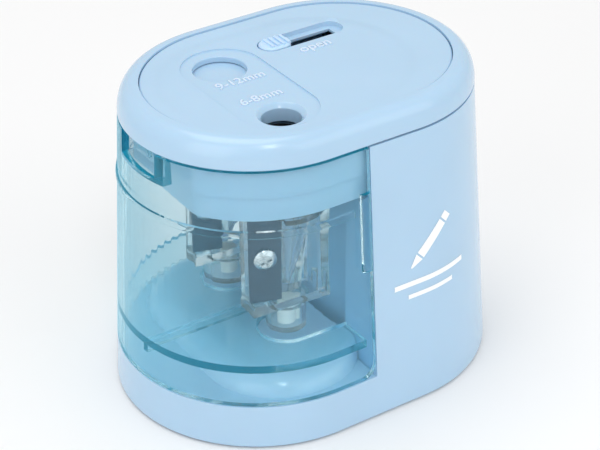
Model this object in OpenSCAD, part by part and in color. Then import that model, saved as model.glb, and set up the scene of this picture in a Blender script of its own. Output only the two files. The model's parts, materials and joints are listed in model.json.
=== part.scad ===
// Battery pencil sharpener with two holes and a clear shavings bin.
// +X runs from the bin end to the battery end, +Z is up, and z = 0 is the
// surface that the feet stand on. The plan is a stadium, symmetric about X and Y.

/* [Body] */
// Half of the straight run between the two end arcs, at the base
base_straight = 12.6; // [10:0.1:16]
// End arc radius at the base
base_radius = 36.8; // [35:0.1:40]
// Half of the straight run at the seam under the top cover
seam_straight = 12.1; // [10:0.1:16]
// End arc radius at the seam under the top cover
seam_radius = 32.5; // [32:0.1:34]
// Height of the seam between housing and top cover
seam_z = 74; // [74:0.5:76]
// Wall thickness of the housing
wall = 2.2; // [1.8:0.1:2.4]
// Height of the front lip that the bin stands on
lip_z = 12; // [11:0.5:13]
// Height of the rubber feet
foot_h = 0.4; // [0.3:0.1:0.8]

/* [Top] */
// Half straight run of the inset top plate
plate_straight = 11.1; // [10:0.1:12]
// End arc radius of the opening for the top plate
plate_radius = 27.95; // [27:0.05:28.2]
// Height of the top plate's rim
top_z = 81.2; // [80.8:0.1:81.4]
// X of both pencil holes
hole_x = -15.3; // [-16:0.1:-15]
// Y of the smaller hole, for 6 to 8 mm pencils
small_hole_y = -16.8; // [-17:0.1:-16.6]
// Y of the larger hole, for 9 to 12 mm pencils
large_hole_y = 10.4; // [10.2:0.1:10.6]
// Radius of the smaller hole
small_hole_r = 4.7; // [4.5:0.1:4.8]
// Radius of the larger hole
large_hole_r = 6.5; // [6.2:0.1:6.6]
// Travel of the selector from closed to open
selector_travel = 14; // [13.6:0.1:14]

/* [Bin] */
// Wall thickness of the clear bin
bin_wall = 2; // [1.6:0.1:2]
// Height of the bin's floor, upper face
bin_floor_z = 22.6; // [22.4:0.1:22.7]
// X of the bin's back edges
bin_back_x = -2; // [-2.4:0.1:-1.9]
// Half width of the finger notch
notch_half = 7.7; // [7.4:0.1:8]
// Depth of the finger notch
notch_depth = 4.2; // [4:0.1:5]
// Height of the notch's ledge, upper face
notch_z = 68; // [67:0.1:68.4]

/* [Drive] */
// Gear module
gear_module = 0.8; // [0.8:0.1:0.8]
// Teeth on each cutter gear
cutter_teeth = 25; // [25:1:25]
// Teeth on the centre gear
centre_teeth = 20; // [20:1:20]
// Teeth on the compound gear's small ring
compound_small_teeth = 12; // [12:1:12]
// Teeth on the compound gear's large ring
compound_large_teeth = 28; // [28:1:28]
// Teeth on the motor pinion
pinion_teeth = 10; // [10:1:10]
// X of the motor shaft
motor_x = 14.5; // [14:0.1:15]

/* [Battery] */
// Diameter of an AA cell
cell_d = 14.3; // [14:0.1:14.4]
// Length of an AA cell without its nub
cell_len = 49.2; // [49:0.1:49.4]

/* [Hidden] */

ring_n = 96;
gap = 0.3;
plate_gap = 0.12;
pilot_r = 1.3;
deck_end_x = -1.5;
mid_y = (small_hole_y + large_hole_y) / 2;
hole_spacing = large_hole_y - small_hole_y;

// Heights inside the head, from the case floor up
case_z = 60;
case_floor = 1.5;
gear_z = case_z + case_floor + 0.3;
gear_h = 4.4;
upper_gear_z = 67.2;
upper_gear_h = 3;
lid_z = 72.4;
lid_top = 73.9;
shutter_z = 76.8;
shutter_h = 1.4;
plate_under_z = 78.4;
plate_seat_z = 79;
collar_z = 75.5;

// Outline of the head's gear case
case_front_x = -38;
case_back_x = 22;
case_straight = 12.2;
case_radius = 29.8;
case_wall = 1.4;

// Gear centres, from the pitch radii
function pitch_r(teeth) = gear_module * teeth / 2;
centre_gap = pitch_r(cutter_teeth) + pitch_r(centre_teeth);
centre_x = hole_x + sqrt(pow(centre_gap, 2) - pow(hole_spacing / 2, 2));
centre_to_compound = pitch_r(centre_teeth) + pitch_r(compound_small_teeth);
compound_to_motor = pitch_r(compound_large_teeth) + pitch_r(pinion_teeth);
centre_to_motor = motor_x - centre_x;
compound_dx = (pow(centre_to_compound, 2) - pow(compound_to_motor, 2)
    + pow(centre_to_motor, 2)) / (2 * centre_to_motor);
compound_dy = -sqrt(pow(centre_to_compound, 2) - pow(compound_dx, 2));
compound_x = centre_x + compound_dx;
compound_y = mid_y + compound_dy;

// Gear phases: each follower has a gap where its driver has a tooth
function mesh_phase(direction, phase, driver, follower) =
    direction + 180 + 180 / follower - driver / follower * (phase - direction);
centre_phase = 0;
front_phase = mesh_phase(atan2(small_hole_y - mid_y, hole_x - centre_x),
    centre_phase, centre_teeth, cutter_teeth);
rear_phase = mesh_phase(atan2(large_hole_y - mid_y, hole_x - centre_x),
    centre_phase, centre_teeth, cutter_teeth);
compound_phase = mesh_phase(atan2(compound_dy, compound_dx),
    centre_phase, centre_teeth, compound_small_teeth);
pinion_phase = mesh_phase(atan2(mid_y - compound_y, motor_x - compound_x),
    0, compound_large_teeth, pinion_teeth);

// Cutter carrier: heights of its bar and tail cup, and the turn it rests at
bar_z = 29.4;
bar_h = 2.2;
bar_half = 10.3;
cup_z = 23;
carrier_turn = -4;
blade_turn = -14;
blade_len = 24;
blade_w = 7.8;
blade_t = 0.6;
blade_z = 33;
blade_offset = 4;
blade_shift = -6;

// Selector recess, slot and knob
recess_x = 9.6;
recess_y = 13.4;
recess_half = 8.5;
recess_r = 3.4;
recess_floor_z = 79.1;
plate_top_z = 80.9;
rim_base_z = 75.2;
rim_fullness = 0.8;
dish_z = 80.3;
panel_z = 79.9;
knob_x = 2.15;
knob_half = 1.05;
knob_r = 3.1;

// Battery cells stand in an arc along the back wall
cell_arc_r = 22.5;
cell_angles = [-61, -20.4, 20.4, 61];
cell_z = 4.4;
base_top = 2.8;
door_edge_x = 15.6;
door_bottom = foot_h + 0.2;
door_hinge_r = (base_top - door_bottom) / 2;
door_pin_r = 0.7;
door_radius = 30.8;

// Case screws, from below
screw_spots = [[-28, -24], [-28, 24], [6, -30], [6, 30]];

// Body outline at a height
function body_l(z) = base_straight + (seam_straight - base_straight) * z / seam_z;
function body_r(z) = base_radius + (seam_radius - base_radius) * z / seam_z;

// Outline points: a stadium along X, and a rounded rectangle
function ring(l, r, z, n = ring_n) = [
    for (i = [0:n - 1])
        let (a = 360 * (i + 0.5) / n)
        [sign(cos(a)) * l + r * cos(a), r * sin(a), z]
];
function rect_ring(x0, x1, y0, y1, r, z, n = ring_n) = [
    for (i = [0:n - 1])
        let (a = 360 * (i + 0.5) / n)
        [(cos(a) > 0 ? x1 - r : x0 + r) + r * cos(a),
         (sin(a) > 0 ? y1 - r : y0 + r) + r * sin(a), z]
];
function flat(points) = [for (p = points) [p[0], p[1]]];

// A closed solid through outline rings of equal length, from the lowest up
module loft(rings) {
    n = len(rings[0]);
    m = len(rings);
    polyhedron(
        points = [for (r = rings) each r],
        faces = concat(
            [[for (i = [0:n - 1]) i]],
            [[for (i = [0:n - 1]) m * n - 1 - i]],
            [for (k = [0:m - 2], i = [0:n - 1]) let (j = (i + 1) % n)
                [k * n + i, (k + 1) * n + i, (k + 1) * n + j]],
            [for (k = [0:m - 2], i = [0:n - 1]) let (j = (i + 1) % n)
                [k * n + i, (k + 1) * n + j, k * n + j]]
        )
    );
}

// The body's drafted outline, taken in by an offset, between two heights
module body_solid(inset, z0, z1) {
    loft([ring(body_l(z0), body_r(z0) - inset, z0), ring(body_l(z1), body_r(z1) - inset, z1)]);
}

// A straight prism on a stadium
module stadium_prism(l, r, z0, z1) {
    translate([0, 0, z0]) linear_extrude(z1 - z0) polygon(flat(ring(l, r, 0)));
}

// Everything on one side of an X plane, between two heights
module behind(x, z0, z1) {
    translate([x, -60, z0]) cube([120, 120, z1 - z0]);
}
module ahead(x, z0, z1) {
    translate([x - 120, -60, z0]) cube([120, 120, z1 - z0]);
}

module tube(r_out, r_in, z0, z1) {
    difference() {
        translate([0, 0, z0]) cylinder(r = r_out, h = z1 - z0, $fn = 64);
        translate([0, 0, z0 - 1]) cylinder(r = r_in, h = z1 - z0 + 2, $fn = 64);
    }
}

module rod(r, z0, z1) {
    translate([0, 0, z0]) cylinder(r = r, h = z1 - z0, $fn = 48);
}

// Gear ring with stub involute teeth and a many-sided bore
function inv(a) = tan(a) * 180 / PI - a;
function tooth_half(teeth, r) =
    let (base = pitch_r(teeth) * cos(20), a = r <= base ? 0 : acos(base / r))
    82 / teeth + inv(20) - inv(a);
function tooth_points(teeth, phase) = [
    for (i = [0:teeth - 1])
        let (p = pitch_r(teeth), m = gear_module, c = phase + 360 * i / teeth)
        for (s = [[-1, -1.05], [-1, -0.3], [-1, 0], [-1, 0.35], [-1, 0.65],
                  [1, 0.65], [1, 0.35], [1, 0], [1, -0.3], [1, -1.05]])
            let (r = p + s[1] * m, a = c + s[0] * tooth_half(teeth, r))
            [r * cos(a), r * sin(a)]
];
module gear(teeth, phase, z0, h, bore) {
    translate([0, 0, z0]) linear_extrude(h) difference() {
        polygon(tooth_points(teeth, phase));
        polygon([for (i = [0:47]) bore * [cos(7.5 * i), sin(7.5 * i)]]);
    }
}

module at_front() { translate([hole_x, small_hole_y, 0]) children(); }
module at_rear() { translate([hole_x, large_hole_y, 0]) children(); }
module at_cells() {
    for (a = cell_angles)
        translate([base_straight + cell_arc_r * cos(a), cell_arc_r * sin(a), 0]) children();
}
module at_screws() { for (p = screw_spots) translate([p[0], p[1], 0]) children(); }

// Raised deck under the bin, with a wide round shoulder
module bay_platform() {
    loft([for (i = [0:6]) let (a = 15 * i, inset = 6.5 * (1 - cos(a)))
        rect_ring(-35 + inset, 4, -32.4 + inset, 32.4 - inset, 19 - inset,
            lip_z - 0.5 + 5.6 * sin(a))]);
}

module housing() {
    color([0.68, 0.81, 0.95]) difference() {
        union() {
            difference() {
                loft([
                    ring(body_l(0), body_r(0) - 0.8, foot_h),
                    ring(body_l(0), body_r(0) - 0.2, foot_h + 0.3),
                    ring(body_l(1), body_r(1), foot_h + 0.8),
                    ring(body_l(seam_z), body_r(seam_z), seam_z)
                ]);
                body_solid(wall, -1, seam_z + 1);
                ahead(bin_back_x + gap, lip_z, seam_z + 1);
            }
            intersection() {
                body_solid(wall - 0.5, lip_z - 2, lip_z);
                ahead(deck_end_x, lip_z - 3, lip_z + 1);
            }
            intersection() {
                bay_platform();
                ahead(deck_end_x, 0, 40);
            }
            for (p = screw_spots)
                translate([p[0], p[1], 0]) rod(3.6, 5.8, p[0] < 0 ? lip_z - 1 : 16);
            for (s = [-1, 1]) translate([4.8, s * 33 - 2, 5.8]) cube([2.4, 4, 10.2]);
        }
        at_screws() rod(pilot_r + 0.22, 5, 14);
        translate([0, 0, -2]) intersection() {
            bay_platform();
            ahead(-4, 0, 40);
        }
    }
}

module base_plate() {
    color([0.66, 0.79, 0.93]) difference() {
        union() {
            stadium_prism(base_straight, base_radius - wall - 0.35, foot_h, base_top);
            at_screws() rod(3.9, base_top - 0.5, 5.6);
        }
        intersection() {
            stadium_prism(base_straight, door_radius + 0.3, 0, base_top + 1);
            behind(door_edge_x - 0.3, 0, base_top + 1);
        }
        at_screws() {
            rod(3.1, 0, 4.2);
            rod(1.75, 0, 7);
        }
        door_pins(door_pin_r + 0.06, 33);
    }
}

// A bar along the battery door's hinge line
module door_pins(r, reach) {
    translate([door_edge_x + door_hinge_r, reach, door_bottom + door_hinge_r])
        rotate([90, 0, 0]) cylinder(r = r, h = 2 * reach, $fn = 48);
}

module battery_door() {
    color([0.66, 0.79, 0.93]) difference() {
        union() {
            intersection() {
                stadium_prism(base_straight, door_radius, door_bottom, base_top);
                behind(door_edge_x + door_hinge_r, 0, base_top + 1);
            }
            door_pins(door_hinge_r, 29.6);
            door_pins(door_pin_r, 32.6);
        }
        for (i = [0:4]) translate([36 + 1.4 * i, -5, 0]) cube([0.7, 10, door_bottom + 0.5]);
    }
}

module door_contacts() {
    color([0.82, 0.8, 0.74]) at_cells() {
        tube(5.2, 2.6, base_top, base_top + 0.5);
        tube(3.4, 2.6, base_top + 0.5, base_top + 1.4);
    }
}

module rubber_feet() {
    color([0.25, 0.27, 0.3]) {
        for (s = [-1, 1]) translate([-38, 11 * s, 0]) rod(3.8, 0, foot_h);
        for (s = [-1, 1])
            translate([base_straight, 0, 0]) rotate([0, 0, 40 * s])
                translate([31.6, -4.5, 0]) cube([2.3, 9, foot_h]);
    }
}

module case_screws() {
    color([0.72, 0.73, 0.75]) at_screws() difference() {
        union() {
            rod(2.7, 2.6, 4.2);
            rod(1.5, 4, 13.4);
        }
        for (a = [0, 90]) rotate([0, 0, a]) translate([-1.6, -0.3, 2]) cube([3.2, 0.6, 1.4]);
    }
}

module battery_cells() {
    color([0.2, 0.22, 0.25]) at_cells() {
        rod(cell_d / 2, cell_z, cell_z + cell_len);
        rod(2.7, cell_z + cell_len, cell_z + cell_len + 1.2);
    }
}

module battery_head() {
    color([0.2, 0.2, 0.22]) intersection() {
        union() {
            stadium_prism(base_straight, 30.6, 56.4, 58.2);
            at_cells() tube(8, cell_d / 2 + 0.2, 50, 57);
        }
        difference() {
            behind(door_edge_x - 2, 40, 60);
            translate([motor_x, mid_y, 0]) rod(10.6, 30, 70);
        }
    }
}

module battery_contacts() {
    color([0.82, 0.8, 0.74]) at_cells()
        translate([-4, -3, cell_z + cell_len + 1.2]) cube([8, 6, 1.6]);
}

// Wall between the bin's bay and the motor, stepped back in the middle
module motor_bay_wall() {
    side_x = -1.2;
    mid_x = 2.4;
    step_y = 20.9;
    t = 1.6;
    color([0.5, 0.68, 0.85]) difference() {
        intersection() {
            body_solid(wall + 0.1, base_top + 0.1, case_z - 0.2);
            union() {
                for (s = [0, 1]) mirror([0, s, 0]) {
                    translate([side_x, step_y, 0]) cube([t, 20, 80]);
                    translate([side_x, step_y, 0]) cube([mid_x - side_x + t, t, 80]);
                }
                translate([mid_x, -step_y - 0.5, 0]) cube([t, 2 * step_y + 1, 80]);
            }
        }
        translate([side_x - 1, 26, 21.6]) rotate([0, 90, 0]) cylinder(r = 1.28, h = 6, $fn = 48);
    }
}

module motor_outline(r, half_flat, z0, z1) {
    intersection() {
        rod(r, z0, z1);
        translate([-20, -half_flat, z0 - 1]) cube([40, 2 * half_flat, z1 - z0 + 2]);
    }
}

module motor_can() {
    color([0.75, 0.76, 0.78]) translate([motor_x, mid_y, 0]) difference() {
        union() {
            motor_outline(10.1, 7.6, 36, case_z - 0.1);
            rod(3, 50, case_z + 1);
        }
        rod(1.05, 30, 70);
        rod(4, 30, 40);
        for (s = [-1, 1]) translate([0, 5 * s, 0]) rod(1, 55.8, 60);
    }
}

module motor_endbell() {
    color([0.93, 0.93, 0.9]) translate([motor_x, mid_y, 0]) {
        difference() {
            motor_outline(9.9, 7.4, 33.6, 36);
            rod(1.05, 30, 70);
        }
        for (s = [-1, 1]) translate([-0.4, 5.6 * s - 1, 29.6]) cube([0.4, 2, 4.2]);
    }
}

module motor_screws() {
    color([0.72, 0.73, 0.75]) for (s = [-1, 1]) translate([motor_x, mid_y + 5 * s, 0]) {
        rod(0.95, 56, case_z + case_floor);
        rod(1.9, case_z + case_floor, case_z + case_floor + 1.2);
    }
}

module rotor_shaft() {
    color([0.78, 0.79, 0.8]) translate([motor_x, mid_y, 0]) rod(1, 32.6, 71);
}

module motor_pinion() {
    color([0.85, 0.7, 0.35]) translate([motor_x, mid_y, 0])
        gear(pinion_teeth, pinion_phase, upper_gear_z - 0.2, upper_gear_h + 0.4, 1.01);
}

module compound_gear() {
    color([0.94, 0.94, 0.92]) translate([compound_x, compound_y, 0]) {
        gear(compound_small_teeth, compound_phase, gear_z, upper_gear_z - gear_z, 1.58);
        gear(compound_large_teeth, 0, upper_gear_z, upper_gear_h, 1.58);
    }
}

module centre_gear() {
    color([0.94, 0.94, 0.92]) translate([centre_x, mid_y, 0])
        gear(centre_teeth, centre_phase, gear_z, gear_h, 1.58);
}

module gear_pins() {
    color([0.78, 0.79, 0.8]) {
        translate([compound_x, compound_y, 0]) rod(1.5, case_z + 0.3, lid_top - 0.4);
        translate([centre_x, mid_y, 0]) rod(1.5, case_z + 0.3, upper_gear_z - 0.4);
    }
}

module case_outline(inset, z0, z1) {
    translate([0, 0, z0]) linear_extrude(z1 - z0)
        polygon([for (p = ring(case_straight, case_radius - inset, 0))
            [max(case_front_x + inset, min(case_back_x - inset, p[0])), p[1]]]);
}

lid_screw_spots = [[-32, -3.2], [18.2, -13], [3, 26], [-26, 21]];

module gear_case() {
    color([0.68, 0.81, 0.95]) difference() {
        union() {
            difference() {
                union() {
                    case_outline(0.4, case_z, 66);
                    case_outline(0, 66, lid_z);
                }
                case_outline(case_wall + 0.2, case_z + case_floor, lid_z + 1);
            }
            for (p = lid_screw_spots) translate([p[0], p[1], 0]) rod(2.3, case_z + 1, lid_z);
        }
        at_front() rod(9.08, 50, 64);
        at_rear() rod(9.08, 50, 64);
        translate([motor_x, mid_y, 0]) rod(3.1, 50, 64);
        for (s = [-1, 1]) translate([motor_x, mid_y + 5 * s, 0]) rod(1, 50, 64);
        translate([compound_x, compound_y, 0]) rod(1.5, case_z + 0.3, 64);
        translate([centre_x, mid_y, 0]) rod(1.5, case_z + 0.3, 64);
        for (p = lid_screw_spots) translate([p[0], p[1], 0]) rod(0.92, 64, lid_z + 1);
    }
}

module gear_case_lid() {
    color([0.68, 0.81, 0.95]) difference() {
        union() {
            case_outline(0, lid_z, lid_top);
            at_rear() rod(8.6, lid_top - 0.5, 75.5);
        }
        at_front() rod(6.48, 60, 80);
        at_rear() {
            rod(7.98, 60, lid_top + 0.1);
            rod(6.9, 60, 80);
        }
        translate([compound_x, compound_y, 0]) rod(1.52, lid_z - 1, lid_top - 0.4);
        for (p = lid_screw_spots) translate([p[0], p[1], 0]) rod(1.05, lid_z - 1, lid_top + 1);
        start_pin_spot() rod(0.8, lid_z - 1, lid_top + 1);
    }
}

module lid_screws() {
    color([0.72, 0.73, 0.75]) for (p = lid_screw_spots) translate([p[0], p[1], 0]) {
        rod(0.9, 66, lid_top);
        rod(1.8, lid_top, lid_top + 1);
    }
}

module cutter_gear(phase) {
    color([0.94, 0.94, 0.92]) gear(cutter_teeth, phase, gear_z, gear_h, 7.95);
}
module front_cutter_gear() { at_front() cutter_gear(front_phase); }
module rear_cutter_gear() { at_rear() cutter_gear(rear_phase); }

// Hub: a flange under the case floor, a running neck, and a journal in the lid
module cutter_hub(bore, journal) {
    color([0.9, 0.93, 0.95]) difference() {
        union() {
            rod(10.4, 58.6, case_z - 0.15);
            rod(9, 58.6, gear_z);
            rod(7.9, 60, gear_z + gear_h);
            rod(journal, 60, lid_top);
        }
        rod(bore, 58, 80);
    }
}
module front_cutter_hub() { at_front() cutter_hub(small_hole_r + 0.2, 6.4); }
module rear_cutter_hub() { at_rear() cutter_hub(large_hole_r, 7.9); }

// Clear carrier: cone for the pencil, two uprights, a bar across and a tail cup
module cutter_carrier(bore, cup_r) {
    cone_z = 34;
    color([0.8, 0.93, 0.97, 0.5]) difference() {
        union() {
            rod(9.6, 56.2, 58.6);
            translate([0, 0, cone_z]) cylinder(r1 = 3.6, r2 = bore + 1.7, h = 58 - cone_z, $fn = 64);
            rotate([0, 0, carrier_turn]) {
                for (s = [-1, 1])
                    translate([s * (bar_half - 1.9) - 1.6, -3.4, bar_z]) cube([3.2, 6.8, 58.2 - bar_z]);
                translate([-bar_half, -3.4, bar_z]) cube([2 * bar_half, 6.8, bar_h]);
                translate([bar_half - 0.4, 0, 0]) rod(1.5, bar_z - 0.6, 35);
            }
            rod(cup_r, cup_z, bar_z + 0.1);
        }
        translate([0, 0, cone_z + 1.5])
            cylinder(r1 = 0.6, r2 = bore + 0.35, h = 58.8 - cone_z - 1.5, $fn = 64);
        rod(cup_r - 1.1, cup_z + 1, bar_z);
        blade_seat(0.05);
        blade_frame() translate([0, 3, blade_len / 2]) rotate([90, 0, 0]) rod(1.52, 0, 6);
    }
}
module front_cutter_carrier() { at_front() cutter_carrier(small_hole_r, 4.9); }
module rear_cutter_carrier() { at_rear() cutter_carrier(large_hole_r, 6); }

// The blade's place on a carrier, beside the cone
module blade_frame() {
    rotate([0, 0, carrier_turn + blade_turn])
        translate([blade_shift, -blade_offset, blade_z]) children();
}
module blade_seat(room) {
    blade_frame() translate([-blade_w / 2 - room, -9, -room])
        cube([blade_w + 2 * room, 9 + room, blade_len + 0.6]);
}
module blade() {
    color([0.36, 0.4, 0.47]) blade_frame() difference() {
        translate([-blade_w / 2, -blade_t, 0]) cube([blade_w, blade_t, blade_len]);
        translate([0, 1, blade_len / 2]) rotate([90, 0, 0]) cylinder(r = 1.6, h = 3, $fn = 32);
        translate([blade_w / 2, -blade_t, -1]) rotate([0, 0, -38]) cube([1.6, 2, blade_len + 2]);
    }
}
module front_blade() { at_front() blade(); }
module rear_blade() { at_rear() blade(); }

module blade_screw() {
    color([0.85, 0.86, 0.88]) blade_frame() translate([0, 0, blade_len / 2])
        rotate([90, 0, 0]) difference() {
            union() {
                rod(1.5, -2.2, blade_t);
                rod(2.75, blade_t, blade_t + 0.7);
                translate([0, 0, blade_t + 0.7]) cylinder(r1 = 2.75, r2 = 1.7, h = 0.8, $fn = 48);
            }
            for (a = [20, 110]) rotate([0, 0, a])
                translate([-1.4, -0.3, blade_t + 0.6]) cube([2.8, 0.6, 2]);
        }
}
module front_blade_screw() { at_front() blade_screw(); }
module rear_blade_screw() { at_rear() blade_screw(); }

module tail_spindle(cup_r) {
    color([0.93, 0.95, 0.95]) {
        rod(2.2, cup_z + 1, bar_z - 0.1);
        translate([cup_r - 2.4, -0.8, 0]) rod(0.8, cup_z + 1, bar_z - 0.1);
    }
}
module front_tail_spindle() { at_front() tail_spindle(5.1); }
module rear_tail_spindle() { at_rear() tail_spindle(6.4); }

// Rounded rim over the whole plan, with a ledge for the top plate
module top_cover() {
    edge_r = plate_radius + 0.45;
    turns = [for (i = [0:12]) 7.5 * i];
    color([0.7, 0.83, 0.96]) difference() {
        loft(concat(
            [ring(seam_straight, seam_radius - 0.35, seam_z + gap)],
            [ring(seam_straight, seam_radius, seam_z + gap + 0.35)],
            [for (t = turns) ring(seam_straight - sin(t) * (seam_straight - plate_straight),
                edge_r + (seam_radius - edge_r) * pow(cos(t), rim_fullness),
                rim_base_z + (top_z - rim_base_z) * pow(sin(t), rim_fullness))]
        ));
        stadium_prism(seam_straight, 30.4, seam_z - 1, plate_seat_z - 1.8);
        stadium_prism(seam_straight - 0.6, 28.6, plate_seat_z - 2, plate_seat_z - 0.9);
        stadium_prism(plate_straight, 26.2, plate_seat_z - 1, top_z + 1);
        stadium_prism(plate_straight, plate_radius, plate_seat_z, top_z + 1);
    }
}

// Inset plate: shallow dish, hole panel, selector recess, guide for small pencils
module top_plate() {
    color([0.7, 0.83, 0.96]) difference() {
        union() {
            stadium_prism(plate_straight, plate_radius - plate_gap, plate_seat_z + 0.05, plate_top_z - 0.3);
            loft([ring(plate_straight, plate_radius - plate_gap, plate_top_z - 0.3),
                  ring(plate_straight, plate_radius - plate_gap - 0.35, plate_top_z)]);
            stadium_prism(plate_straight, 26.05, plate_under_z, plate_seat_z + 0.1);
            at_front() rod(6.1, collar_z, plate_seat_z);
            for (y = [2, 17.8]) translate([-25, y, shutter_z - 0.2]) cube([46, 0.8, 2]);
        }
        loft([rect_ring(-34.4, 26.9, -23.9, 22.2, 22.6, dish_z),
              rect_ring(-36, 28.5, -25.5, 23.8, 24.2, plate_top_z + 0.05)]);
        translate([0, 0, panel_z]) linear_extrude(3)
            polygon(flat(rect_ring(-24.9, -4.7, -24, 20, 10.05, 0)));
        selector_recess();
        at_front() {
            rod(small_hole_r, 70, top_z);
            translate([0, 0, panel_z - 1.1])
                cylinder(r1 = small_hole_r, r2 = small_hole_r + 1.4, h = 1.4, $fn = 64);
        }
        at_rear() {
            rod(large_hole_r, 70, top_z);
            translate([0, 0, panel_z - 0.25])
                cylinder(r1 = large_hole_r, r2 = large_hole_r + 0.4, h = 0.4, $fn = 64);
        }
    }
}

module selector_recess() {
    translate([0, 0, recess_floor_z]) linear_extrude(4)
        polygon(flat(rect_ring(recess_x - recess_half - recess_r, recess_x + recess_half + recess_r,
            recess_y - recess_r, recess_y + recess_r, recess_r, 0, 64)));
    translate([-0.4, recess_y - 1.6, 70]) cube([selector_travel + 5.4, 3.2, 12]);
}

module shutter_plate() {
    color([0.69, 0.82, 0.95])
        translate([-22.4, 3.1, shutter_z]) cube([28.4, 14.4, shutter_h]);
}

// Ribbed knob on the shutter's stem
module selector_knob() {
    top = dish_z + 0.5;
    color([0.74, 0.86, 0.97]) translate([knob_x, recess_y, 0]) difference() {
        union() {
            translate([-2.2, -1.4, shutter_z + shutter_h]) cube([5, 2.8, 2]);
            stem_top = recess_floor_z + 0.15;
            loft([rect_ring(-knob_r - knob_half, knob_r + knob_half, -knob_r, knob_r, knob_r, stem_top, 64),
                  rect_ring(-knob_r - knob_half, knob_r + knob_half, -knob_r, knob_r, knob_r, top - 0.4, 64),
                  rect_ring(-knob_r - knob_half + 0.4, knob_r + knob_half - 0.4,
                      -knob_r + 0.4, knob_r - 0.4, knob_r - 0.4, top, 64)]);
            for (i = [-1:2]) translate([1.5 * i - 0.6, -2.3, top - 0.2]) cube([0.7, 4.6, 0.6]);
        }
    }
}

// Start lever: a pencil in the small hole pushes its tip aside
start_pin = [-6.4, -24.2];
module start_pin_spot() { translate([start_pin[0], start_pin[1], 0]) children(); }
module start_lever() {
    color([0.92, 0.92, 0.9]) difference() {
        union() {
            start_pin_spot() rod(2, 74.2, 75.4);
            translate([0, 0, 74.2]) linear_extrude(1.2) polygon([
                [start_pin[0] - 1.4, start_pin[1] + 1.2], [-10.3, -18.6], [-10.3, -16.2],
                [-9.3, -16.2], [start_pin[0] + 1.4, start_pin[1] + 1.2]]);
            translate([start_pin[0], start_pin[1] - 0.7, 74.2]) cube([8, 1.4, 1.2]);
        }
        start_pin_spot() rod(0.86, 70, 80);
    }
}
module start_lever_pin() {
    color([0.78, 0.79, 0.8]) start_pin_spot() rod(0.8, lid_z + 0.2, 75.9);
}
module start_contacts() {
    color([0.85, 0.7, 0.35]) {
        for (x = [-1.4, 0.4]) translate([x, -27.6, lid_top]) cube([0.3, 1.5, 2.2]);
        translate([-1.4, -27.6, lid_top]) cube([2.1, 1.5, 0.3]);
    }
}

module bin_switch() {
    color([0.2, 0.2, 0.22]) {
        translate([8.6, 20.4, 17]) cube([6, 11, 6.6]);
        translate([10.4, 24, base_top]) cube([3.6, 5, 15]);
        for (i = [0:2]) translate([14.5, 22 + 3.6 * i, 20]) cube([2, 0.5, 1.6]);
    }
}
module bin_switch_plunger() {
    color([0.85, 0.3, 0.25]) translate([-3.4, 26, 21.6]) rotate([0, 90, 0]) {
        cylinder(r = 1.2, h = 10.6, $fn = 48);
        translate([0, 0, 7]) cylinder(r = 1.9, h = 1, $fn = 48);
    }
}

// Clear bin: drafted shell, floor, skirt, finger notch, grip ribs and waist rib
module shavings_bin() {
    z0 = lip_z + gap;
    z1 = seam_z - 0.1;
    notch_wall = 1.1;
    end_x = -body_l(notch_z) - body_r(notch_z);
    color([0.35, 0.8, 0.9, 0.45]) difference() {
        union() {
            difference() {
                union() {
                    body_solid(0, z0, z1);
                    waist_rib();
                }
                body_solid(bin_wall, z0 - 1, z1 + 1);
            }
            intersection() {
                body_solid(bin_wall - 0.4, bin_floor_z - 2, bin_floor_z);
                ahead(-3.7, 0, 90);
            }
            intersection() {
                body_solid(bin_wall - 0.4, bin_floor_z - 4, bin_floor_z);
                translate([-60, -4, 0]) cube([53, 1.6, 60]);
            }
            intersection() {
                body_solid(0, notch_z - 2, z1);
                translate([end_x - 3, -notch_half - notch_wall, 0])
                    cube([notch_depth + notch_wall + 3, 2 * (notch_half + notch_wall), 90]);
            }
            for (s = [-1, 1]) translate([end_x + notch_depth + notch_wall - 0.2, s * 1.6 - 0.4, notch_z])
                cube([1, 0.8, z1 - notch_z]);
            grip_rib(-1);
            grip_rib(1);
        }
        translate([end_x - 3, -notch_half, notch_z]) cube([notch_depth + 3, 2 * notch_half, 20]);
        behind(bin_back_x, 0, 90);
        bin_corner();
        for (y = [small_hole_y, large_hole_y]) cutter_slot(y);
    }
}

// Slot in the bin's floor that lets a tail cup pass, flared to the back
module cutter_slot(y) {
    r = 7.2;
    translate([0, y, bin_floor_z - 6]) linear_extrude(7) {
        translate([hole_x, 0]) circle(r = r, $fn = 64);
        polygon([[hole_x, -r], [1, -r - 0.6], [1, r + 0.6], [hole_x, r]]);
    }
}

module waist_rib() {
    intersection() {
        loft([
            ring(body_l(57.2), body_r(57.2) - 0.3, 57.1),
            ring(body_l(57.4), body_r(57.4) + 0.3, 57.7),
            ring(body_l(58.4), body_r(58.4) + 0.4, 58.4),
            ring(body_l(59.4), body_r(59.4) + 0.3, 59.2),
            ring(body_l(59.8), body_r(59.8) - 0.3, 59.8)
        ]);
        ahead(-6.5, 50, 70);
    }
}

module grip_rib(side) {
    zc = 42.5;
    h = 20;
    translate([-3.6, side * (body_r(zc) - 1), 0]) hull() {
        translate([0, side * 0.5, zc]) cylinder(r = 1.5, h = 0.5, $fn = 24);
        translate([0, side * (0.5 + body_r(zc + h) - body_r(zc)), zc + h]) cylinder(r = 1.5, h = 0.5, $fn = 24);
    }
}

// Rounds the bin's lower back corners
module bin_corner() {
    r = 3.8;
    translate([bin_back_x - r, 60, lip_z + gap + r]) rotate([90, 0, 0]) difference() {
        translate([0, -r - 1, 0]) cube([r + 1, r + 1, 120]);
        translate([0, 0, -1]) cylinder(r = r, h = 122, $fn = 48);
    }
}

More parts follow.
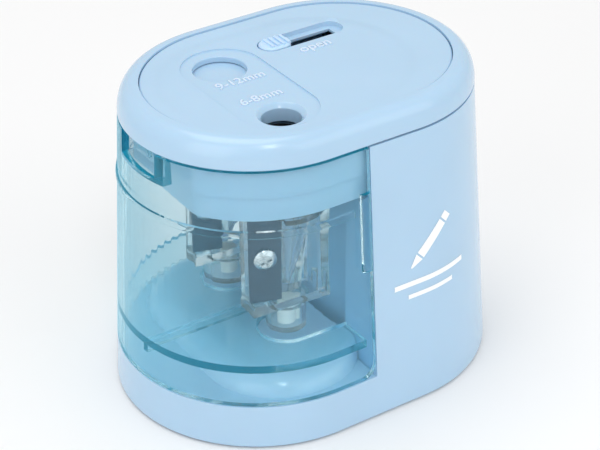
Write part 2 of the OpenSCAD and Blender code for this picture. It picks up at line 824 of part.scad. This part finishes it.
housing();
base_plate();
battery_door();
door_contacts();
rubber_feet();
case_screws();
battery_cells();
battery_head();
battery_contacts();
motor_bay_wall();
motor_can();
motor_endbell();
motor_screws();
rotor_shaft();
motor_pinion();
compound_gear();
centre_gear();
gear_pins();
gear_case();
gear_case_lid();
lid_screws();
front_cutter_gear();
rear_cutter_gear();
front_cutter_hub();
rear_cutter_hub();
front_cutter_carrier();
rear_cutter_carrier();
front_blade();
rear_blade();
front_blade_screw();
rear_blade_screw();
front_tail_spindle();
rear_tail_spindle();
top_cover();
top_plate();
shutter_plate();
selector_knob();
start_lever();
start_lever_pin();
start_contacts();
bin_switch();
bin_switch_plunger();
shavings_bin();
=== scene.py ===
"""Looks for the battery pencil sharpener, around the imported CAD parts.

Lengths are in metres, in the CAD frame: +X from the bin end to the battery end, +Z up, z = 0 on the desk.
"""

import json
import math

import bpy
from mathutils import Matrix, Vector


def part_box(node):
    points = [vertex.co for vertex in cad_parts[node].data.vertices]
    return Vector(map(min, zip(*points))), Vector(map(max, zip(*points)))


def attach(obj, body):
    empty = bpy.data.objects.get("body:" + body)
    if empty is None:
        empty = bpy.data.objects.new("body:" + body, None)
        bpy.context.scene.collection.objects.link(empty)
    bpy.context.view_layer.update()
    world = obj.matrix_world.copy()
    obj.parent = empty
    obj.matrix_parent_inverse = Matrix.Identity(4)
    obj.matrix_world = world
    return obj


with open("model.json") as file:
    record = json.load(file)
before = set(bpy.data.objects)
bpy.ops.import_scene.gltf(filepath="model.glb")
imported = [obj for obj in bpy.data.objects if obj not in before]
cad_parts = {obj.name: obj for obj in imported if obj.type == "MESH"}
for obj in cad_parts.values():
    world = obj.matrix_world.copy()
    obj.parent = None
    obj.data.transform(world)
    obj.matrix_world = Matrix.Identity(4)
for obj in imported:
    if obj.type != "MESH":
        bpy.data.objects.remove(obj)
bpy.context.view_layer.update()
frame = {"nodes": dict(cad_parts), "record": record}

MM = 0.001

# The body's plan is a stadium that narrows upwards. Its radii and straight runs come from the CAD boxes.
cover_low, cover_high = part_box("top_cover")
housing_low, housing_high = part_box("housing")
SEAM_Z = housing_high.z
SEAM_RADIUS = (cover_high.y - cover_low.y) / 2
SEAM_STRAIGHT = (cover_high.x - cover_low.x) / 2 - SEAM_RADIUS
BASE_Z = 2 * MM
BASE_RADIUS = (housing_high.y - housing_low.y) / 2
BASE_STRAIGHT = (housing_high.x - housing_low.x) / 2 - BASE_RADIUS

# Where the pencil holes are, and the heights of the top plate's dish and of its hole panel
HOLE_X = -15.3 * MM
DISH_Z = 80.3 * MM
PANEL_Z = 79.9 * MM


def lerp(a, b, t):
    return a + (b - a) * t


def body_radius(z):
    return lerp(BASE_RADIUS, SEAM_RADIUS, (z - BASE_Z) / (SEAM_Z - BASE_Z))


def body_straight(z):
    return lerp(BASE_STRAIGHT, SEAM_STRAIGHT, (z - BASE_Z) / (SEAM_Z - BASE_Z))


# ---------------------------------------------------------------- materials


class Shader:
    """A node material under construction, with its Principled node and short ways to add texture nodes."""

    def __init__(self, name, color, roughness, **sockets):
        self.material = bpy.data.materials.new(name)
        self.material.use_nodes = True
        self.nodes = self.material.node_tree.nodes
        self.links = self.material.node_tree.links
        self.bsdf = self.nodes["Principled BSDF"]
        self.output = self.nodes["Material Output"]
        self.bsdf.inputs["Base Color"].default_value = (*color, 1)
        self.bsdf.inputs["Roughness"].default_value = roughness
        for socket, value in sockets.items():
            self.bsdf.inputs[socket.replace("_", " ")].default_value = value
        self.coordinates = self.nodes.new("ShaderNodeTexCoord").outputs["Object"]

    def noise(self, scale, detail=3.0, stretch=(1, 1, 1)):
        mapping = self.nodes.new("ShaderNodeMapping")
        mapping.inputs["Scale"].default_value = stretch
        texture = self.nodes.new("ShaderNodeTexNoise")
        texture.inputs["Scale"].default_value = scale
        texture.inputs["Detail"].default_value = detail
        self.links.new(self.coordinates, mapping.inputs["Vector"])
        self.links.new(mapping.outputs["Vector"], texture.inputs["Vector"])
        return texture.outputs["Fac"]

    def ramp(self, factor, stops):
        node = self.nodes.new("ShaderNodeValToRGB")
        node.color_ramp.elements.remove(node.color_ramp.elements[1])
        node.color_ramp.elements[0].position = stops[0][0]
        node.color_ramp.elements[0].color = (*stops[0][1], 1)
        for position, color in stops[1:]:
            node.color_ramp.elements.new(position).color = (*color, 1)
        self.links.new(factor, node.inputs["Fac"])
        return node.outputs["Color"]

    def spread(self, factor, low, high):
        node = self.nodes.new("ShaderNodeMapRange")
        node.inputs["From Min"].default_value = 0.3
        node.inputs["From Max"].default_value = 0.7
        node.inputs["To Min"].default_value = low
        node.inputs["To Max"].default_value = high
        self.links.new(factor, node.inputs["Value"])
        return node.outputs["Result"]

    def mottle(self, color, amount, scale):
        """Base colour that drifts a little either side of color."""
        dark = tuple(c * (1 - amount) for c in color)
        light = tuple(min(1, c * (1 + amount)) for c in color)
        tone = self.ramp(self.noise(scale), [(0.3, dark), (0.7, light)])
        self.links.new(tone, self.bsdf.inputs["Base Color"])

    def vary_roughness(self, low, high, scale, stretch=(1, 1, 1)):
        self.links.new(self.spread(self.noise(scale, 4, stretch), low, high), self.bsdf.inputs["Roughness"])

    def bump(self, height, strength, depth):
        node = self.nodes.new("ShaderNodeBump")
        node.inputs["Strength"].default_value = strength
        node.inputs["Distance"].default_value = depth
        self.links.new(height, node.inputs["Height"])
        self.links.new(node.outputs["Normal"], self.bsdf.inputs["Normal"])

    def let_light_in(self, tint, surface=None):
        """Light reaches what is behind this clear plastic, tinted by it."""
        path = self.nodes.new("ShaderNodeLightPath")
        through = self.nodes.new("ShaderNodeBsdfTransparent")
        through.inputs["Color"].default_value = (*tint, 1)
        mix = self.nodes.new("ShaderNodeMixShader")
        self.links.new(path.outputs["Is Shadow Ray"], mix.inputs["Fac"])
        self.links.new(surface or self.bsdf.outputs["BSDF"], mix.inputs[1])
        self.links.new(through.outputs["BSDF"], mix.inputs[2])
        self.links.new(mix.outputs["Shader"], self.output.inputs["Surface"])


def moulded_plastic(name, color, roughness=0.3, grain=0.05):
    """Injection-moulded plastic: fine spark grain, a faint drift of colour and gloss, and a thin coat."""
    shader = Shader(name, color, roughness, IOR=1.5, Subsurface_Weight=0.08, Subsurface_Scale=0.002,
                    Coat_Weight=0.3, Coat_Roughness=0.1)
    shader.mottle(color, 0.018, 45)
    shader.vary_roughness(roughness - 0.02, roughness + 0.03, 160)
    shader.bump(shader.noise(2600, 2), grain, 0.00004)
    return shader.material


def turned_metal(name, color, roughness=0.28, stretch=(1, 1, 12)):
    """Metal with fine tool marks across one axis."""
    shader = Shader(name, color, roughness, Metallic=1.0)
    shader.mottle(color, 0.05, 300)
    shader.vary_roughness(roughness - 0.08, roughness + 0.12, 900, stretch)
    shader.bump(shader.noise(1500, 3, stretch), 0.15, 0.00003)
    return shader.material


def rubber():
    shader = Shader("rubber", (0.03, 0.03, 0.033), 0.8)
    shader.mottle((0.03, 0.03, 0.033), 0.2, 400)
    shader.bump(shader.noise(1800, 4), 0.4, 0.00008)
    return shader.material


def cell_wrap():
    """Battery sleeve: dark below, a copper band towards the positive end."""
    low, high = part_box("battery_cells")
    shader = Shader("cell_wrap", (0.02, 0.02, 0.025), 0.3, Coat_Weight=0.6)
    split = shader.nodes.new("ShaderNodeSeparateXYZ")
    shader.links.new(shader.coordinates, split.inputs["Vector"])
    share = shader.nodes.new("ShaderNodeMapRange")
    share.inputs["From Min"].default_value = low.z
    share.inputs["From Max"].default_value = high.z
    shader.links.new(split.outputs["Z"], share.inputs["Value"])
    dark, copper, steel = (0.02, 0.02, 0.025), (0.75, 0.36, 0.14), (0.6, 0.6, 0.6)
    stops = [(0.0, steel), (0.02, dark), (0.7, dark), (0.705, copper), (0.955, copper), (0.965, steel)]
    ramp = shader.ramp(share.outputs["Result"], stops)
    shader.links.new(ramp, shader.bsdf.inputs["Base Color"])
    shader.vary_roughness(0.22, 0.38, 200)
    return shader.material


EDGE_TEAL_DARK = (0.03, 0.5, 0.72)
EDGE_TEAL_LIGHT = (0.05, 0.56, 0.78)
TEAL_SHARE_FACING = 0.01
TEAL_SHARE_GRAZING = 0.62
BIN_ABSORPTION = 32


def tinted_bin():
    """Clear cyan plastic: pale where it is looked straight through, teal along ribs, rims and cut edges."""
    shader = Shader("clear_cyan", (0.97, 0.995, 1.0), 0.04, IOR=1.4, Transmission_Weight=1.0)
    shader.vary_roughness(0.02, 0.06, 70)
    shader.bump(shader.noise(28, 2), 0.05, 0.0006)
    edge = shader.nodes.new("ShaderNodeBsdfDiffuse")
    tone = shader.ramp(shader.noise(60), [(0.3, EDGE_TEAL_DARK), (0.7, EDGE_TEAL_LIGHT)])
    shader.links.new(tone, edge.inputs["Color"])
    facing = shader.nodes.new("ShaderNodeLayerWeight")
    facing.inputs["Blend"].default_value = 0.22
    share = shader.nodes.new("ShaderNodeMapRange")
    share.inputs["To Min"].default_value = TEAL_SHARE_FACING
    share.inputs["To Max"].default_value = TEAL_SHARE_GRAZING
    body = shader.nodes.new("ShaderNodeMixShader")
    shader.links.new(facing.outputs["Facing"], share.inputs["Value"])
    shader.links.new(share.outputs["Result"], body.inputs["Fac"])
    shader.links.new(shader.bsdf.outputs["BSDF"], body.inputs[1])
    shader.links.new(edge.outputs["BSDF"], body.inputs[2])
    shader.let_light_in((0.96, 0.995, 1.0), body.outputs["Shader"])
    absorb = shader.nodes.new("ShaderNodeVolumeAbsorption")
    absorb.inputs["Color"].default_value = (0.06, 0.86, 0.95, 1)
    absorb.inputs["Density"].default_value = BIN_ABSORPTION
    shader.links.new(absorb.outputs["Volume"], shader.output.inputs["Volume"])
    return shader.material


def clear_plastic():
    """Water-clear moulded plastic of the cutter carriers."""
    shader = Shader("clear_plastic", (0.95, 0.985, 1.0), 0.05, IOR=1.49, Transmission_Weight=0.94)
    shader.vary_roughness(0.03, 0.1, 120)
    shader.bump(shader.noise(60, 2), 0.08, 0.0005)
    shader.let_light_in((0.93, 0.97, 0.98))
    return shader.material


def printed_ink():
    shader = Shader("white_ink", (0.93, 0.95, 0.97), 0.4)
    shader.mottle((0.93, 0.95, 0.97), 0.02, 500)
    shader.bump(shader.noise(1500, 2), 0.1, 0.00003)
    return shader.material


BLUE = (0.41, 0.6, 0.78)
KNOB_BLUE = (0.5, 0.7, 0.9)
MATERIALS = {
    "housing": moulded_plastic("light_blue_plastic", BLUE, 0.2),
    "knob": moulded_plastic("knob_plastic", KNOB_BLUE, 0.3),
    "bay_wall": moulded_plastic("bay_wall_plastic", (0.3, 0.53, 0.8), 0.4),
    "rubber": rubber(),
    "steel": turned_metal("steel", (0.66, 0.67, 0.69), 0.25),
    "cell": cell_wrap(),
    "black": moulded_plastic("black_plastic", (0.02, 0.02, 0.022), 0.45, 0.25),
    "red": moulded_plastic("red_plastic", (0.55, 0.05, 0.035), 0.35),
    "contact": turned_metal("nickel_plate", (0.72, 0.7, 0.64), 0.2),
    "brass": turned_metal("brass", (0.78, 0.56, 0.22), 0.28),
    "white": moulded_plastic("white_plastic", (0.85, 0.86, 0.85), 0.35),
    "clear": clear_plastic(),
    "blade": turned_metal("ground_steel", (0.085, 0.115, 0.16), 0.34, (12, 12, 1)),
    "bin": tinted_bin(),
}
INK = printed_ink()
# The marks are a paler blue than the top plate: painted highlight for the light caught by the raised
# letters
MARK_PAINTED_HIGHLIGHT = moulded_plastic("mark_plastic_painted_highlight", (0.62, 0.74, 0.88), 0.35)
# The hubs are black: painted shade, so that the pencil holes look dark inside
HOLE_SHADE_MATERIALS = {
    "front_cutter_hub": MATERIALS["black"],
    "rear_cutter_hub": MATERIALS["black"],
}

# ---------------------------------------------------------------- CAD nodes: finish, soft edges

EDGE_ROUNDS = {
    "housing": 0.25,
    "top_plate": 0.18,
    "selector_knob": 0.15,
    "gear_case": 0.3,
    "gear_case_lid": 0.3,
    "motor_bay_wall": 0.3,
    "front_cutter_carrier": 0.2,
    "rear_cutter_carrier": 0.2,
    "front_blade_screw": 0.12,
    "rear_blade_screw": 0.12,
    "base_plate": 0.2,
    "battery_door": 0.2,
    "rubber_feet": 0.2,
    "shutter_plate": 0.2,
}
SMOOTH_ANGLE = math.radians(32)


def soften(node, width):
    """Welds the node's triangles, rounds its sharp edges and shades its curves smooth, all by modifiers."""
    node.data.polygons.foreach_set("use_smooth", [True] * len(node.data.polygons))
    weld = node.modifiers.new("weld", "WELD")
    weld.merge_threshold = 0.00001
    if width:
        flats = node.modifiers.new("flats", "DECIMATE")
        flats.decimate_type = "DISSOLVE"
        flats.angle_limit = math.radians(0.6)
        bevel = node.modifiers.new("edges", "BEVEL")
        bevel.width = width * MM
        bevel.segments = 2
        bevel.limit_method = "ANGLE"
        bevel.angle_limit = SMOOTH_ANGLE
        bevel.use_clamp_overlap = True
    split = node.modifiers.new("creases", "EDGE_SPLIT")
    split.split_angle = SMOOTH_ANGLE
    if width:
        node.modifiers.new("flat_faces", "WEIGHTED_NORMAL")


slots = {part["node"]: part["material_slot"] for part in frame["record"]["subparts"]}
for name, node in frame["nodes"].items():
    node.data.materials.clear()
    node.data.materials.append(HOLE_SHADE_MATERIALS.get(name, MATERIALS[slots[name]]))
    soften(node, EDGE_ROUNDS.get(name, 0))

# ---------------------------------------------------------------- added detail


def mesh_piece(name, vertices, faces, material, body):
    mesh = bpy.data.meshes.new(name)
    mesh.from_pydata([tuple(v) for v in vertices], [], faces)
    mesh.update()
    mesh.materials.append(material)
    piece = bpy.data.objects.new(name, mesh)
    bpy.context.scene.collection.objects.link(piece)
    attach(piece, body)


def raised_mark(name, words, centre, z, height):
    """Generic marking, moulded a little proud of the top, in a paler blue that is painted highlight."""
    text = bpy.data.curves.new(name, "FONT")
    text.body = words
    text.size = height
    text.align_x = "CENTER"
    text.align_y = "CENTER"
    text.extrude = 0.2 * MM
    text.bevel_depth = 0.05 * MM
    text.bevel_resolution = 1
    text.materials.append(MARK_PAINTED_HIGHLIGHT)
    piece = bpy.data.objects.new(name, text)
    bpy.context.scene.collection.objects.link(piece)
    piece.location = (centre[0], centre[1], z)
    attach(piece, "body")


raised_mark("mark_large_hole", "9-12mm", (HOLE_X + 0.8 * MM, 2.25 * MM), PANEL_Z, 3.9 * MM)
raised_mark("mark_small_hole", "6-8mm", (HOLE_X + 0.3 * MM, -7.6 * MM), PANEL_Z, 3.9 * MM)
raised_mark("mark_open", "open", (9.5 * MM, 6.8 * MM), DISH_Z, 4.3 * MM)


INK_PROUD = 0.06 * MM
INK_STEP = 1.0 * MM


def side_point(x, z):
    """A point just outside the body's flank on the -Y side."""
    radius = body_radius(z) + INK_PROUD
    past = max(0.0, x - body_straight(z))
    return Vector((x, -math.sqrt(radius ** 2 - past ** 2), z))


def printed_patch(name, corners):
    """White ink that follows the flank: a four-cornered patch, its corners (x, z) in mm going round."""
    a, b, c, d = [Vector(corner) * MM for corner in corners]
    columns = max(1, round(max((b - a).length, (c - d).length) / INK_STEP))
    rows = max(1, round(max((d - a).length, (c - b).length) / INK_STEP))
    vertices, faces = [], []
    for row in range(rows + 1):
        for column in range(columns + 1):
            along, up = column / columns, row / rows
            flat = lerp(lerp(a, b, along), lerp(d, c, along), up)
            vertices.append(side_point(flat.x, flat.y))
    for row in range(rows):
        for column in range(columns):
            corner = row * (columns + 1) + column
            faces.append((corner, corner + 1, corner + columns + 2, corner + columns + 1))
    mesh_piece(name, vertices, faces, INK, "body")


def printed_bar(name, x0, x1, z0, z1):
    printed_patch(name, [(x0, z0), (x1, z0), (x1, z1), (x0, z1)])


def printed_slant(name, start, end, width):
    """A printed stroke from start to end, both (x, z) in mm."""
    start, end = Vector(start), Vector(end)
    across = (end - start).orthogonal().normalized() * width / 2
    printed_patch(name, [start - across, end - across, end + across, start + across])


# A generic pencil sign over two plain bars, where the maker's print stood
PENCIL_TIP, PENCIL_END = Vector((9.0, 38.5)), Vector((20.5, 49.5))
pencil_way = (PENCIL_END - PENCIL_TIP).normalized()
pencil_side = pencil_way.orthogonal()
cone_base = PENCIL_TIP + pencil_way * 3.4
printed_slant("print_pencil_shaft", cone_base + pencil_way * 0.5, PENCIL_END - pencil_way * 2.4, 2.6)
printed_slant("print_pencil_rubber", PENCIL_END - pencil_way * 1.9, PENCIL_END, 2.6)
printed_patch("print_pencil_cone", [
    PENCIL_TIP + pencil_side * 0.25, PENCIL_TIP - pencil_side * 0.25,
    cone_base - pencil_side * 1.3, cone_base + pencil_side * 1.3,
])
printed_bar("print_bar_long", 4.0, 26.0, 33.6, 35.0)
printed_bar("print_bar_short", 8.0, 22.0, 30.2, 31.4)


# ---------------------------------------------------------------- floor, light and camera


FLOOR_HALF = 6
WORLD_STRENGTH = 0.74


def floor():
    """Pale flat floor, far wider than the view."""
    material = Shader("studio_floor", (0.9, 0.9, 0.9), 0.7)
    material.mottle((0.9, 0.9, 0.9), 0.01, 3)
    mesh = bpy.data.meshes.new("studio_floor")
    half = FLOOR_HALF
    corners = [(-half, -half, 0), (half, -half, 0), (half, half, 0), (-half, half, 0)]
    mesh.from_pydata(corners, [], [(0, 1, 2, 3)])
    mesh.materials.append(material.material)
    plane = bpy.data.objects.new("studio_floor", mesh)
    bpy.context.scene.collection.objects.link(plane)


def softbox(name, location, target, width, height, watts):
    lamp = bpy.data.lights.new(name, "AREA")
    lamp.shape = "RECTANGLE"
    lamp.size = width
    lamp.size_y = height
    lamp.energy = watts
    box = bpy.data.objects.new(name, lamp)
    bpy.context.scene.collection.objects.link(box)
    box.location = location
    aim = Vector(target) - Vector(location)
    box.rotation_euler = aim.to_track_quat("-Z", "Y").to_euler()


def studio():
    world = bpy.data.worlds.new("studio")
    bpy.context.scene.world = world
    world.use_nodes = True
    background = world.node_tree.nodes["Background"]
    background.inputs["Color"].default_value = (1, 1, 1, 1)
    background.inputs["Strength"].default_value = WORLD_STRENGTH
    centre = (0, 0, 0.04)
    softbox("top_light", (-0.1, 0.1, 0.9), centre, 0.6, 0.6, 2.0)
    softbox("left_light", (-0.9, -0.3, 0.5), centre, 0.6, 0.9, 1.8)
    softbox("front_light", (0.5, -1.1, 0.6), centre, 1.2, 0.9, 3.0)
    softbox("rim_light", (-0.22, -0.55, 0.75), centre, 0.12, 0.3, 0.8)


def white_backdrop_tones():
    """A white studio sweep stays white, and pale plastic keeps its colour."""
    bpy.context.scene.view_settings.view_transform = "Standard"


def camera():
    """The view that the object is shown from: its azimuth, elevation, roll, distance and lens."""
    azimuth, elevation, roll = math.radians(-32.63), math.radians(31.91), math.radians(-1.04)
    distance = 465.7 * MM
    target = Vector((0.19, 0.41, 35.84)) * MM
    back = Vector((
        math.sin(azimuth) * math.cos(elevation),
        -math.cos(azimuth) * math.cos(elevation),
        math.sin(elevation),
    ))
    lens = bpy.data.cameras.new("camera")
    lens.sensor_width = 36
    lens.lens = 111.8
    view = bpy.data.objects.new("camera", lens)
    bpy.context.scene.collection.objects.link(view)
    level = back.to_track_quat("Z", "Y").to_matrix().to_4x4()
    view.matrix_world = Matrix.Translation(target + back * distance) @ level @ Matrix.Rotation(roll, 4, "Z")
    bpy.context.scene.camera = view


floor()
studio()
white_backdrop_tones()
camera()
